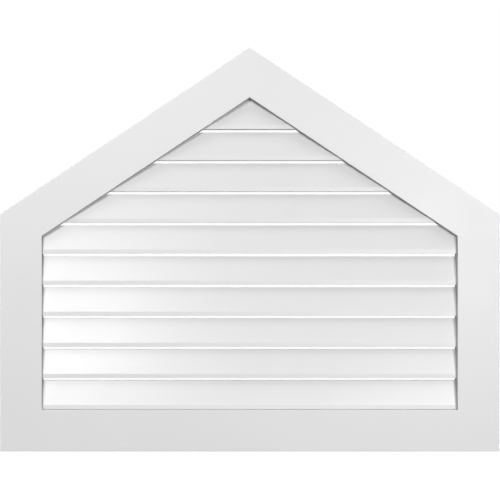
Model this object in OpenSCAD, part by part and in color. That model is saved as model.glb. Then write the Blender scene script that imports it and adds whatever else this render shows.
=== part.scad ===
// Peaked gable vent: a frame of five flat boards, mitred and glued at the corners, with fixed
// sloping louvres whose ends are let into housings in the inner edges of the boards.
// The front faces -Y and +Z is up. The origin is at the middle of the bottom edge, halfway
// through the thickness. Sizes are in millimetres.

/* [Frame outline] */
// Overall width, between the two side edges
overall_w = 1066.8; // [900:0.1:1400]
// Overall height, from the bottom edge to the peak
overall_h = 863.6; // [780:0.1:1000]
// Height of the upright side edges, from the bottom edge to the shoulders
side_h = 508; // [400:0.1:600]

/* [Frame boards] */
// Width of every board of the frame
board_w = 88.9; // [60:0.1:120]
// Thickness of the boards, which is the depth of the whole vent
board_t = 25.4; // [22:0.1:40]
// Radius of the eased long edges on the front of the boards
eased_r = 1.2; // [0.4:0.1:3]

/* [Louvres] */
// Number of louvres between the bottom board and the peak
louvre_count = 10; // [6:1:12]
// Clear height of the air gap between one louvre and the next
air_gap = 6; // [3:0.5:12]
// Height of the upright nose along the foot of each louvre
nose_h = 9; // [4:0.5:14]
// Distance of the nose behind the front of the frame
nose_setback = 11; // [4:0.5:15]
// Thickness of the top edge of each louvre
top_edge_t = 4.4; // [3:0.1:8]

/* [Housings] */
// Depth of the housings that hold the louvre ends
housing_d = 6; // [3:0.5:15]
// Clearance over, before and beyond a louvre end in its housing
fit_gap = 0.2; // [0.1:0.05:0.5]

/* [Hidden] */
// Flats that make up the quarter round of an eased edge
eased_flats = 5;
// How far cutting shapes run past the faces that they cut
overrun = 1;

front_y = -board_t / 2;
back_y = board_t / 2;

// Angle of the roof slope above the horizontal
slope = atan2(overall_h - side_h, overall_w / 2);

// The opening inside the frame
sill_z = board_w;
opening_half_w = overall_w / 2 - board_w;
opening_peak_z = overall_h - board_w / cos(slope);

// The louvres divide the height of the opening into equal steps, numbered from the bottom up
louvre_pitch = (opening_peak_z - sill_z) / louvre_count;
louvre_h = louvre_pitch - air_gap;
nose_y = front_y + nose_setback;
top_edge_y = back_y - top_edge_t;
// Depth that the sloping face gains for each unit of height
lean = (top_edge_y - nose_y) / (louvre_h - nose_h);

function louvre_name(i) = str("louvre_", i < 10 ? "0" : "", i);

// Outline of the frame, counter-clockwise in the front view from the bottom left corner
frame_outline = [
    [-overall_w / 2, 0],
    [overall_w / 2, 0],
    [overall_w / 2, side_h],
    [0, overall_h],
    [-overall_w / 2, side_h]
];

// Outline of the opening in the same order, let into the sides and slopes by depth
function opening_outline(depth = 0) =
    let (half_w = opening_half_w + depth)
    let (peak_z = opening_peak_z + depth / cos(slope))
    let (shoulder_z = peak_z - half_w * tan(slope))
    [
        [-half_w, sill_z],
        [half_w, sill_z],
        [half_w, shoulder_z],
        [0, peak_z],
        [-half_w, shoulder_z]
    ];

// Quarter round about a centre, starting at an angle
function quarter_round(centre, start) =
    [for (s = [0:eased_flats])
        let (angle = start + s * 90 / eased_flats)
        centre + eased_r * [cos(angle), sin(angle)]];

// Section across a board: depth in Y, width from its outer to its inner edge
board_section = concat(
    [[back_y, board_w]],
    quarter_round([front_y + eased_r, board_w - eased_r], 90),
    quarter_round([front_y + eased_r, eased_r], 180),
    [[back_y, 0]]
);

// The top louvre is left a full step tall, so that it closes the peak of the opening
function louvre_rise(i) = i == louvre_count ? louvre_pitch : louvre_h;

// Section across a louvre, in depth and height above its foot. The gap widens it to the
// section of its housing, which is open at the back and carries the louvre on its floor.
function louvre_section(rise, gap = 0) =
    let (section_back_y = gap > 0 ? back_y + overrun : back_y)
    let (face_top_y = nose_y + lean * (rise - nose_h) - gap)
    [
        [nose_y - gap, 0],
        [section_back_y, 0],
        [section_back_y, rise + gap],
        [face_top_y, rise + gap],
        [nose_y - gap, nose_h]
    ];

// Extrudes a front view through the given depth, centred on the frame
module through_y(depth) {
    rotate([90, 0, 0])
        linear_extrude(depth, center = true)
            children();
}

// Extrudes a section, drawn in depth and height, along X
module along_x(length, center = false) {
    rotate([90, 0, 90])
        linear_extrude(length, center = center)
            children();
}

// Louvre i with its ends let into the frame, or its housing when a gap is given
module louvre_body(i, let_in, gap = 0) {
    intersection() {
        translate([0, 0, sill_z + (i - 1) * louvre_pitch])
            along_x(overall_w, center = true)
                polygon(louvre_section(louvre_rise(i), gap));
        through_y(2 * board_t)
            polygon(opening_outline(let_in));
    }
}

// Board k of the frame, from corner k of the outline to the next, mitred at both ends
module board_blank(k) {
    next = (k + 1) % len(frame_outline);
    opening = opening_outline();
    start = frame_outline[k];
    reach = frame_outline[next] - start;
    heading = atan2(reach[1], reach[0]);
    intersection() {
        through_y(2 * board_t)
            polygon([start, frame_outline[next], opening[next], opening[k]]);
        translate([start[0], 0, start[1]])
            rotate([0, -heading, 0])
                along_x(norm(reach))
                    polygon(board_section);
    }
}

module housed_board(k) {
    difference() {
        board_blank(k);
        for (i = [1:louvre_count])
            louvre_body(i, housing_d, fit_gap);
    }
}

module bottom_rail() {
    color("white") board_blank(0);
}

module right_side() {
    color("white") housed_board(1);
}

module right_rake() {
    color("white") housed_board(2);
}

module left_rake() {
    color("white") housed_board(3);
}

module left_side() {
    color("white") housed_board(4);
}

module louvre(i) {
    color("whitesmoke") louvre_body(i, housing_d - fit_gap);
}

bottom_rail();
right_side();
right_rake();
left_rake();
left_side();
for (i = [1:louvre_count])
    louvre(i);
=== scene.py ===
# %% [markdown]
# # A peaked gable vent
# The vent is a flat frame of five white boards, mitred like a picture frame, that carries ten
# fixed sloping louvres. It is screwed or glued flat to a gable wall, where the louvres let attic
# air out and keep rain from running in. It has no moving part, so everything rides on one body.
#
# The solids that are loaded first hold the true sizes. Every piece is modelled again here at the
# size of its solid, with eased edges and its own surface.

# %% Load the solids
import math
import bpy
from mathutils import Matrix, Vector


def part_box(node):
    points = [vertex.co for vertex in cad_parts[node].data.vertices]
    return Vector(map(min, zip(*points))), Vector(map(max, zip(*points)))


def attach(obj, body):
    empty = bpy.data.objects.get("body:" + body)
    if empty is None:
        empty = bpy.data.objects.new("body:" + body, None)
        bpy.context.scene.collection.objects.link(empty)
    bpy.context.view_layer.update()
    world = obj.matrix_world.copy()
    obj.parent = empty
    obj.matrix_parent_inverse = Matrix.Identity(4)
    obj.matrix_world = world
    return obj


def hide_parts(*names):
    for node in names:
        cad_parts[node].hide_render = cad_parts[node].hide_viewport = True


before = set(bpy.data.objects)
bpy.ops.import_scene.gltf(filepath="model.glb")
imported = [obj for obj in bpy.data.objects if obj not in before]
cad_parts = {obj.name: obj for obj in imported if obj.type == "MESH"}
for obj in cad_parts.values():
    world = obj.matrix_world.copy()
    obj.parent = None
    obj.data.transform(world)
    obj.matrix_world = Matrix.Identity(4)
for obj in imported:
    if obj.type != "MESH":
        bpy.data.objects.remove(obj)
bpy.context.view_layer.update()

print("solids:", ", ".join(sorted(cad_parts)))

# %% [markdown]
# ## Sizes of the frame
# Sizes could be typed in again, but the boxes of the solids already hold nearly all of them. The
# rail runs the whole width along the foot of the frame, so its box gives that width, the depth
# and the width of a board. The tops of a side and of a rake give the slope of the roof.

# %% Measure the frame
rail_low, rail_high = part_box("bottom_rail")

half_w = rail_high.x
front_y, back_y = rail_low.y, rail_high.y
board_w = rail_high.z
side_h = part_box("right_side")[1].z
peak_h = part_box("right_rake")[1].z
slope = math.atan2(peak_h - side_h, half_w)

print(f"outside {2 * half_w:.4f} x {peak_h:.4f} m, slope {math.degrees(slope):.2f} degrees")

# %% [markdown]
# ## Sizes of the louvres
# The two lowest louvres reach from side to side. Their boxes show how far back the louvres sit,
# how far apart they are and how deep their ends are let into the boards.

# %% Measure the louvres
LOUVRES = sorted(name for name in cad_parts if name.startswith("louvre_"))

foot_low, foot_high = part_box(LOUVRES[0])
next_foot_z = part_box(LOUVRES[1])[0].z

sill_z = foot_low.z
pitch = next_foot_z - sill_z
louvre_h = foot_high.z - sill_z
nose_y = foot_low.y
let_in = foot_high.x - (half_w - board_w)

print(f"{len(LOUVRES)} louvres every {pitch * 1000:.2f} mm, let in {let_in * 1000:.1f} mm")

# %% [markdown]
# ## Blocks and saw cuts
# A shape can be typed in point by point, but cuts are how the real pieces get theirs. So a board
# or a louvre starts as a block at its own size and place, and is then planed and sawn: bisect
# cuts a plane through it and closes the cut. Operators work on whatever is selected, so each
# helper selects just what it needs. A piece keeps its place in its mesh, as the solids do.

# %% Helpers for blocks and cuts
def deselect_all():
    for item in bpy.context.selected_objects:
        item.select_set(False)


def activate(piece):
    deselect_all()
    piece.select_set(True)
    bpy.context.view_layer.objects.active = piece


def block(name, size, centre, turn=0.0):
    """A block whose length runs to the right, turned up from the horizontal."""
    deselect_all()
    bpy.ops.mesh.primitive_cube_add(size=1, location=centre, rotation=(0, -turn, 0), scale=size)
    piece = bpy.context.object
    piece.name = piece.data.name = name
    bpy.ops.object.transform_apply(location=True, rotation=True, scale=True)
    return piece


def saw(piece, place, away):
    """Cuts through the piece at a place and takes off what lies away from it."""
    activate(piece)
    bpy.ops.object.mode_set(mode="EDIT")
    bpy.ops.mesh.select_all(action="SELECT")
    normal = Vector(away).normalized()
    bpy.ops.mesh.bisect(plane_co=place, plane_no=normal, use_fill=True, clear_outer=True)
    bpy.ops.object.mode_set(mode="OBJECT")

# %% [markdown]
# ## Eased edges
# The long front edges of a real board are rounded a little, and that thin round catches the
# light. Bevel makes it from a few narrow faces. It could be a modifier on every edge, but the
# ends and the backs stay sharp, so a test on the two ends of an edge picks the right ones.

# %% A helper for eased edges
def ease_edges(piece, wanted, radius, flats):
    """Rounds the edges whose two ends pass a test."""
    activate(piece)
    bpy.ops.object.mode_set(mode="EDIT")
    bpy.ops.mesh.select_all(action="DESELECT")
    bpy.ops.mesh.select_mode(type="EDGE")
    bpy.ops.object.mode_set(mode="OBJECT")
    corners = piece.data.vertices
    for edge in piece.data.edges:
        edge.select = wanted(*(corners[i].co for i in edge.vertices))
    bpy.ops.object.mode_set(mode="EDIT")
    bpy.ops.mesh.bevel(offset=radius, segments=flats, affect="EDGES")
    bpy.ops.object.mode_set(mode="OBJECT")

# %% [markdown]
# ## Flat faces that look flat
# After the cuts, doubled points are merged and every face is turned outwards. Smooth shading over
# a narrow round would bend the light on the wide flat face beside it too. Weighting the normals
# by area prevents that: a flat face stays flat right up to its rounded edge.

# %% A helper for clean meshes
MERGE_WITHIN = 1e-6
SMOOTH_ANGLE = math.radians(35)
WIDE_FACE_WEIGHT = 100


def tidy(piece):
    """Merges doubled points, turns every face outwards and smooths only the eased edges."""
    activate(piece)
    bpy.ops.object.mode_set(mode="EDIT")
    bpy.ops.mesh.select_all(action="SELECT")
    bpy.ops.mesh.remove_doubles(threshold=MERGE_WITHIN)
    bpy.ops.mesh.normals_make_consistent(inside=False)
    bpy.ops.object.mode_set(mode="OBJECT")
    bpy.ops.object.shade_smooth_by_angle(angle=SMOOTH_ANGLE)
    weighted = piece.modifiers.new("weighted", "WEIGHTED_NORMAL")
    weighted.keep_sharp = True
    weighted.weight = WIDE_FACE_WEIGHT
    bpy.ops.object.modifier_apply(modifier=weighted.name)

# %% [markdown]
# ## Louvres
# A louvre is a bevelled slat. Its foot is thick, with an upright nose that water drips from, and
# its face leans back to a thin top edge. It could be drawn as an outline and extruded, but a
# block that is planed down shows how the real one is ripped from a board: one sloping cut makes
# the face, then the long edges lose their sharpness. All ten come from the same stock. The height
# of the nose and the thickness of the top edge lie inside the section, where no box shows them.

# %% Make the stock that the louvres are cut from
NOSE_H = 0.009
TOP_EDGE_T = 0.0044
LOUVRE_EASED_R = 0.0003
LOUVRE_EASED_FLATS = 3
CUT_PAST_BACK = 0.001


def louvre_stock(name, height, gap=0.0):
    """A slat on the sill. A gap makes it the wider shape of its housing, open at the back."""
    depth = back_y - nose_y
    lean = (depth - TOP_EDGE_T) / (louvre_h - NOSE_H)
    reach_y = back_y + (CUT_PAST_BACK if gap else 0)
    size = Vector((2 * (half_w - board_w + let_in + gap), reach_y - nose_y + gap, height + gap))
    centre = Vector((0, (reach_y + nose_y - gap) / 2, sill_z + (height + gap) / 2))
    piece = block(name, size, centre)
    saw(piece, (0, nose_y - gap, sill_z + NOSE_H), (0, -1, lean))
    return piece


def is_front_edge(a, b):
    """True for the three long edges at the front of a slat."""
    lengthwise = abs(a.x - b.x) > half_w
    return lengthwise and max(a.y, b.y) < back_y - TOP_EDGE_T / 2


stock = louvre_stock("stock", louvre_h)
tall_stock = louvre_stock("tall_stock", pitch)
for slat in (stock, tall_stock):
    ease_edges(slat, is_front_edge, LOUVRE_EASED_R, LOUVRE_EASED_FLATS)
    print(f"{slat.name} has {len(slat.data.polygons)} faces")

# %% [markdown]
# ## Ends of the louvres
# The upper louvres run into the slopes, so their ends are sawn along a plane that lies a little
# inside each rake. The same two cuts pass beside the lower louvres and leave them square. The top
# louvre is left a full step tall, so that it closes the peak. Each louvre is a copy of the stock
# with its own mesh, moved up by its number of steps.

# %% Cut ten louvres to length
opening_peak_z = peak_h - board_w / math.cos(slope)


def copy_at(piece, name, step):
    twin = piece.copy()
    twin.data = piece.data.copy()
    twin.name = twin.data.name = name
    bpy.context.collection.objects.link(twin)
    twin.data.transform(Matrix.Translation(step))
    return twin


def saw_to_slopes(piece, depth):
    """Trims both ends along the two slopes of the opening, let in by a depth."""
    peak = (0, 0, opening_peak_z + depth / math.cos(slope))
    for side in (-1, 1):
        saw(piece, peak, (side * math.sin(slope), 0, math.cos(slope)))


def cut_to_length(plain, tall, naming, depth):
    """A copy of the stock for each louvre, at its height and trimmed to the slopes."""
    cut = {}
    for step, name in enumerate(LOUVRES):
        source = tall if name == LOUVRES[-1] else plain
        cut[name] = copy_at(source, naming.format(name), (0, 0, step * pitch))
        saw_to_slopes(cut[name], depth)
    return cut


louvres = cut_to_length(stock, tall_stock, "{}_slat", let_in)
for louvre in louvres.values():
    tidy(louvre)
    print(louvre.name, [round(side, 4) for side in louvre.dimensions])

# %% [markdown]
# ## Boards
# The frame is cut from one width of trim board. It could be one flat shape with a hole, but then
# the grain would run one way all over. So each board starts as a block along the outside of the
# frame, turned to its slope. Its two long front edges are eased first and its ends are sawn
# after, so that the rounded edges of two boards meet cleanly on the mitre, as they do on the
# bench. A mitre halves the angle between a board and its neighbour.

# %% Make the five mitred boards
BOARD_EASED_R = 0.0012
BOARD_EASED_FLATS = 4
PARALLEL = 0.999
OUTSIDE = [
    Vector((-half_w, 0, 0)),
    Vector((half_w, 0, 0)),
    Vector((half_w, 0, side_h)),
    Vector((0, 0, peak_h)),
    Vector((-half_w, 0, side_h)),
]
BOARDS = ["bottom_rail", "right_side", "right_rake", "left_rake", "left_side"]


def board(name, start, end, before, after):
    """A board from one corner of the frame to the next, between its two neighbours."""
    along = (end - start).normalized()
    inwards = Vector((-along.z, 0, along.x))
    length = (end - start).length
    turn = math.atan2(along.z, along.x)
    centre = (start + end) / 2 + inwards * board_w / 2
    piece = block(name, (length, back_y - front_y, board_w), centre, turn)

    def is_long_front_edge(a, b):
        lengthwise = abs((b - a).normalized().dot(along)) > PARALLEL
        return lengthwise and max(a.y, b.y) < front_y + BOARD_EASED_R / 2

    ease_edges(piece, is_long_front_edge, BOARD_EASED_R, BOARD_EASED_FLATS)
    for corner, neighbour, into_board in ((start, before, along), (end, after, -along)):
        into_neighbour = (neighbour - corner).normalized()
        saw(piece, corner, into_neighbour - into_board)
    return piece


boards = {}
for k, name in enumerate(BOARDS):
    around = [OUTSIDE[(k + shift) % len(OUTSIDE)] for shift in (0, 1, -1, 2)]
    boards[name] = board(name + "_board", *around)
    print(boards[name].name, len(boards[name].data.polygons), "faces")

# %% [markdown]
# ## Housings
# The louvre ends sit in housings, shallow pockets routed into the inner edges of the boards and
# open at the back. The louvres could simply end at the boards, but from behind a fine joint line
# shows round each end. So the pockets are cut with shapes a hair larger than the louvres.

# %% Rout the housings
FIT_GAP = 0.0002


def routed_shapes():
    """One cutter with the shape of every housing."""
    plain = louvre_stock("housing", louvre_h, FIT_GAP)
    tall = louvre_stock("tall_housing", pitch, FIT_GAP)
    shapes = list(cut_to_length(plain, tall, "rout_{}", let_in + FIT_GAP).values())
    for source in (plain, tall):
        bpy.data.objects.remove(source)
    activate(shapes[0])
    for shape in shapes:
        shape.select_set(True)
    bpy.ops.object.join()
    return shapes[0]


cutter = routed_shapes()
for name, piece in boards.items():
    if name != "bottom_rail":
        activate(piece)
        rout = piece.modifiers.new("rout", "BOOLEAN")
        rout.operation = "DIFFERENCE"
        rout.solver = "EXACT"
        rout.object = cutter
        bpy.ops.object.modifier_apply(modifier=rout.name)
    tidy(piece)
    print(piece.name, len(piece.data.polygons), "faces after routing")
for spare in (cutter, stock, tall_stock):
    bpy.data.objects.remove(spare)

# %% [markdown]
# ## Grain directions
# A board leaves the extruder with faint lines along its length, whichever way it is then fitted.
# A pattern on the place in space would run level over the slopes too. So each piece gets a UV map
# in metres: the first value runs along the board and the second runs across the face that is
# being looked at. The sawn ends use the two short directions.

# %% Lay the maps along the boards
def lay_map(piece, along):
    """Writes UVs in metres, lengthwise and crosswise, in place of the map of the first block."""
    through = Vector((0, 1, 0))
    axes = (along, along.cross(through), through)
    layers = piece.data.uv_layers
    while layers:
        layers.remove(layers[0])
    layer = layers.new(name="lengthwise")
    for face in piece.data.polygons:
        facing = max(axes, key=lambda axis: abs(face.normal.dot(axis)))
        u_axis, v_axis = (axis for axis in axes if axis is not facing)
        for loop in face.loop_indices:
            place = piece.data.vertices[piece.data.loops[loop].vertex_index].co
            layer.data[loop].uv = (place.dot(u_axis), place.dot(v_axis))


for piece in louvres.values():
    lay_map(piece, Vector((1, 0, 0)))
for k, name in enumerate(BOARDS):
    direction = OUTSIDE[(k + 1) % len(OUTSIDE)] - OUTSIDE[k]
    lay_map(boards[name], direction.normalized())
print("maps laid on", len(louvres) + len(boards), "pieces")

# %% [markdown]
# ## Shader sums
# A material is worked out from a few patterns that are added and multiplied. Written as plain
# sums, that is far easier to read than nodes placed one by one, so a small class wraps one output
# of a node, and each sum on it adds the Math node that does the same.

# %% A class for sums of sockets
class Value:
    """One output of a node, ready for sums."""

    def __init__(self, nodes, socket):
        self.nodes = nodes
        self.socket = socket

    def math(self, operation, first, second):
        return self.nodes.add("ShaderNodeMath", {"operation": operation}, {0: first, 1: second})

    def __add__(self, other):
        return self.math("ADD", self, other)

    def __sub__(self, other):
        return self.math("SUBTRACT", self, other)

    def __rsub__(self, other):
        return self.math("SUBTRACT", other, self)

    def __mul__(self, other):
        return self.math("MULTIPLY", self, other)

    __radd__ = __add__
    __rmul__ = __mul__

# %% [markdown]
# Every other node comes from one method. It takes the type of the node, its settings, and what
# goes into its sockets: a number or a colour is set on the socket, and a value is linked to it.

# %% A class for the nodes of a material
class Nodes:
    """The nodes of one material or world."""

    def __init__(self, owner):
        owner.use_nodes = True
        self.tree = owner.node_tree
        self.tree.nodes.clear()

    def add(self, kind, settings=None, inputs=None, output=0):
        node = self.tree.nodes.new(kind)
        for name, setting in (settings or {}).items():
            setattr(node, name, setting)
        for name, given in (inputs or {}).items():
            if isinstance(given, Value):
                self.tree.links.new(given.socket, node.inputs[name])
            else:
                node.inputs[name].default_value = given
        return Value(self, node.outputs[output]) if node.outputs else node

    def finish(self, shader, kind="ShaderNodeOutputMaterial"):
        self.add(kind, None, {"Surface": shader})

# %% [markdown]
# ## White PVC
# The boards are cellular PVC, white all through. Their skin is satin, with the faint lines of the
# extruder along it and a very fine orange peel. The slope of a louvre is planed a little
# smoother. Where a board has been sawn, the open cells of the foam show: they are dull, and they
# hold a little shade. Inside the opening the sawn faces are greyer still, which is painted shade
# for the deep shade between the louvres. Plain colours would look like paper, so three patterns
# of noise give the peel, a slow cloudiness and the lines, which are stretched along the board.
# Apart from that painted shade, the colour hardly changes at all.

# %% Build the PVC material
LINES_PER_METRE = (6, 900, 1)
CLOUDS_PER_METRE = 9.0
PEEL_PER_METRE = 1400.0
PEEL_GRAIN = 0.6
NOISE_MIDDLE = 0.5
CLOUD_TONE = 0.020
LINE_TONE = 0.010
CLOUD_ROUGHNESS = 0.10
LINE_ROUGHNESS = 0.08
PVC_IOR = 1.5


def pvc(name, level, roughness, shine, peel_depth, line_depth):
    """White PVC. Its level is the share of light that it throws back, and depths are in metres."""
    material = bpy.data.materials.new(name)
    nodes = Nodes(material)
    place = nodes.add("ShaderNodeTexCoord", output="Object")
    lengthwise = nodes.add("ShaderNodeUVMap", {"uv_map": "lengthwise"})

    def noise(source, scale, detail, grain=0.5):
        inputs = {"Vector": source, "Scale": scale, "Detail": detail, "Roughness": grain}
        return nodes.add("ShaderNodeTexNoise", None, inputs)

    stretched = nodes.add(
        "ShaderNodeMapping", None, {"Vector": lengthwise, "Scale": LINES_PER_METRE}
    )
    lines = noise(stretched, 1.0, 2)
    clouds = noise(place, CLOUDS_PER_METRE, 3)
    peel = noise(place, PEEL_PER_METRE, 2, PEEL_GRAIN)

    cloudy = clouds - NOISE_MIDDLE
    lined = lines - NOISE_MIDDLE
    tone = level + cloudy * CLOUD_TONE + lined * LINE_TONE
    colour = nodes.add("ShaderNodeCombineColor", None, {"Red": tone, "Green": tone, "Blue": tone})
    sheen = roughness + cloudy * CLOUD_ROUGHNESS + lined * LINE_ROUGHNESS

    height = peel * peel_depth + lines * line_depth
    skin = nodes.add(
        "ShaderNodeBump", None, {"Height": height, "Strength": 1.0, "Distance": 1.0}
    )
    surface = nodes.add(
        "ShaderNodeBsdfPrincipled",
        None,
        {
            "Base Color": colour,
            "Roughness": sheen,
            "Normal": skin,
            "IOR": PVC_IOR,
            "Specular IOR Level": shine,
        },
    )
    nodes.finish(surface)
    return material

# %% [markdown]
# One colour for the whole vent would hide how it was made. So there are four surfaces, which
# differ only in their numbers: how light, how rough and how shiny they are, and how deep the
# peel and the lines go. The fourth is the sawn surface with painted shade inside the opening.

# %% Make the four surfaces
SKIN, PLANED, SAWN, SAWN_PAINTED_SHADE = range(4)
SURFACES = [
    pvc("skin_pvc", level=0.80, roughness=0.40, shine=0.5, peel_depth=3e-6, line_depth=2e-6),
    pvc("planed_pvc", level=0.80, roughness=0.30, shine=0.5, peel_depth=2e-6, line_depth=2e-6),
    pvc("sawn_pvc", level=0.74, roughness=0.90, shine=0.0, peel_depth=3e-5, line_depth=2e-5),
    # Painted shade: the sawn faces inside the opening are darker, to stand in for the shade
    # between the louvres.
    pvc("dusty_pvc", level=0.50, roughness=0.90, shine=0.0, peel_depth=3e-5, line_depth=2e-5),
]
print("surfaces:", ", ".join(surface.name for surface in SURFACES))

# %% [markdown]
# ## A surface for each face
# A face that points straight to the front or the back keeps the skin. The slope of a louvre and
# the rounded edges are planed. A face that points up, down or sideways is sawn, and unless it lies
# on the outline of the frame it gets painted shade: a darker grey that stands in for the shade
# inside the opening. The faces could be picked by hand, but their direction and place already say
# how each was made and where the painted shade goes.

BODY = "root"
STRAIGHT_ON = 0.995
SLANTED = 0.5


def on_outline(place):
    """True for a place on the outside edges of the frame."""
    under_roof = (peak_h - place.z) * math.cos(slope) - abs(place.x) * math.sin(slope)
    return min(half_w - abs(place.x), place.z, under_roof) < BOARD_EASED_R


def surface_of(face):
    """Place of a face's material in the list of surfaces."""
    facing = abs(face.normal.y)
    if facing > STRAIGHT_ON:
        return SKIN
    if facing >= SLANTED:
        return PLANED
    return SAWN if on_outline(face.center) else SAWN_PAINTED_SHADE


for pieces, slot in ((boards, "frame_boards"), (louvres, "louvres")):
    for node_name, piece in pieces.items():
        piece.data.materials.clear()
        for material in SURFACES:
            piece.data.materials.append(material)
        for face in piece.data.polygons:
            face.material_index = surface_of(face)
        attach(piece, BODY)
        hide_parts(node_name)
print("dressed", len(boards) + len(louvres), "pieces")

# %% [markdown]
# ## Seen or lighting
# The surroundings have two jobs that pull apart: they should look white, yet throw little light
# on the vent. Two pictures could be laid over each other for that, but each ray knows where it
# comes from, so one mask keeps what is seen apart from what lights the vent.

# %% A helper for what is seen directly
def seen_directly(nodes):
    """One where a ray comes from the camera, a mirror or glass, and zero elsewhere."""
    kinds = [
        nodes.add("ShaderNodeLightPath", output=f"Is {kind} Ray")
        for kind in ("Camera", "Glossy", "Transmission")
    ]
    total = kinds[0] + kinds[1] + kinds[2]
    return total.math("MINIMUM", total, 1.0)

# %% [markdown]
# ## Floor
# The vent stands on a plain floor and is shown against pure white. A floor of plain white light
# would take no shadow. So this one is a real surface, with some glow added where it is seen
# directly, and further away it fades to the white of the world, so that no horizon shows. The
# light that it throws back up is that of a dark studio floor, which leaves the undersides of the
# louvres in shade.

# %% Lay the floor
FLOOR_SIZE = 60.0
SEEN_FLOOR_LEVEL = 0.35
SEEN_FLOOR_GLOW = 0.74
STUDIO_FLOOR_LEVEL = 0.10
FADE_START = 1.2
FADE_END = 3.5


def floor_surface():
    material = bpy.data.materials.new("floor_white")
    nodes = Nodes(material)
    place = nodes.add("ShaderNodeTexCoord", output="Object")
    distance = nodes.add("ShaderNodeVectorMath", {"operation": "LENGTH"}, {0: place}, "Value")
    fade = nodes.add(
        "ShaderNodeMapRange",
        {"interpolation_type": "SMOOTHSTEP"},
        {"Value": distance, "From Min": FADE_START, "From Max": FADE_END},
    )

    def diffuse(level):
        return nodes.add("ShaderNodeBsdfDiffuse", None, {"Color": (level, level, level, 1)})

    def mix(share, first, second):
        return nodes.add("ShaderNodeMixShader", None, {0: share, 1: first, 2: second})

    glow = nodes.add("ShaderNodeEmission", None, {"Strength": SEEN_FLOOR_GLOW})
    white = nodes.add("ShaderNodeEmission", None, {"Strength": 1.0})
    near = nodes.add("ShaderNodeAddShader", None, {0: diffuse(SEEN_FLOOR_LEVEL), 1: glow})
    seen = mix(fade, near, white)
    nodes.finish(mix(seen_directly(nodes), diffuse(STUDIO_FLOOR_LEVEL), seen))
    return material


deselect_all()
bpy.ops.mesh.primitive_plane_add(size=FLOOR_SIZE, location=(0, 0, 0))
floor = bpy.context.object
floor.name = "floor"
floor.data.materials.append(floor_surface())
print(f"floor fades to white from {FADE_START} to {FADE_END} m")

# %% [markdown]
# ## World
# A white world would light the vent from all round and wash out the shade between the louvres.
# So the world is full white only where it is seen directly, and gives nearly no light otherwise.

# %% Light the world
WORLD_LIGHT = 0.02

world = bpy.data.worlds.new("studio")
bpy.context.scene.world = world
nodes = Nodes(world)
strength = WORLD_LIGHT + seen_directly(nodes) * (1 - WORLD_LIGHT)
sky = nodes.add("ShaderNodeBackground", None, {"Color": (1, 1, 1, 1), "Strength": strength})
nodes.finish(sky, "ShaderNodeOutputWorld")
print(f"world gives {WORLD_LIGHT:.0%} of full light")

# %% [markdown]
# ## Lamps
# Seven softboxes stand well away from the vent, so that their light is even over it. Each is
# placed by its direction, seen from the vent, and by the light that it lays on a surface that
# faces it. The louvres lean back and mirror what stands some twenty degrees above the camera, so
# the left sheen shows as a broad glow in the lower left louvres. The right key is the strongest
# and makes the right of the frame a little lighter than the left. A wide fill hangs high in
# front, a weaker one stands low on the left, and three more light the back and the two outer
# edges.

# %% Place the lamps
LAMP_REACH = 6.0
MIDDLE = Vector((0, 0, peak_h / 2))


def softbox(name, azimuth, elevation, size, level):
    """A square lamp. Azimuth runs from the front to the right, and a level of 1 is full light."""
    lamp = bpy.data.lights.new(name, "AREA")
    lamp.size = size
    lamp.energy = level * (math.pi * LAMP_REACH) ** 2
    item = bpy.data.objects.new(name, lamp)
    round_by, up_by = math.radians(azimuth), math.radians(elevation)
    outwards = Vector((
        math.sin(round_by) * math.cos(up_by),
        -math.cos(round_by) * math.cos(up_by),
        math.sin(up_by),
    ))
    item.location = MIDDLE + LAMP_REACH * outwards
    item.rotation_euler = outwards.to_track_quat("Z", "Y").to_euler()
    item.visible_camera = False
    bpy.context.collection.objects.link(item)
    print(f"{name}: {azimuth} degrees round, {elevation} degrees up, level {level}")


softbox("right_key", 18, 2, 1.0, 0.37)
softbox("left_sheen", -12.5, 15.5, 1.0, 0.275)
softbox("left_fill", -28, 2, 1.6, 0.11)
softbox("high_fill", 0, 64, 3.2, 0.32)
softbox("back_fill", 180, 0, 0.8, 0.60)
softbox("left_edge_fill", -92, 45, 0.8, 0.35)
softbox("right_edge_fill", 92, 45, 0.8, 0.35)

# %% [markdown]
# ## Camera
# The view is square-on. The side walls of the opening show a little more on the right than on the
# left, so the camera stands left of the middle. Turning it back to the middle would make the
# boards converge, so its lens is shifted sideways instead, as in a catalogue shot. The places in
# the picture are given in pixels of a frame of 500 by 500.

# %% Set the camera
FRAME_PIXELS = 500
WIDTH_PIXELS = 499.14
PIXEL = 2 * half_w / WIDTH_PIXELS
MIDDLE_X_PIXEL = 249.73
BOTTOM_PIXEL = 451.5
LENS_SHIFT = 0.10
DISTANCE = 2.296
SENSOR = 36.0

camera = bpy.data.cameras.new("camera")
camera.sensor_width = SENSOR
camera.lens = SENSOR * DISTANCE / (FRAME_PIXELS * PIXEL)
camera.shift_x = LENS_SHIFT
camera_item = bpy.data.objects.new("camera", camera)
eye_x = (FRAME_PIXELS / 2 - MIDDLE_X_PIXEL - LENS_SHIFT * FRAME_PIXELS) * PIXEL
eye_z = (BOTTOM_PIXEL - FRAME_PIXELS / 2) * PIXEL
camera_item.location = (eye_x, front_y - DISTANCE, eye_z)
camera_item.rotation_euler = (math.pi / 2, 0, 0)
bpy.context.collection.objects.link(camera_item)
bpy.context.scene.camera = camera_item
bpy.context.scene.view_settings.view_transform = "Standard"
print(f"lens {camera.lens:.1f} mm at {eye_x:.3f}, {eye_z:.3f} m")
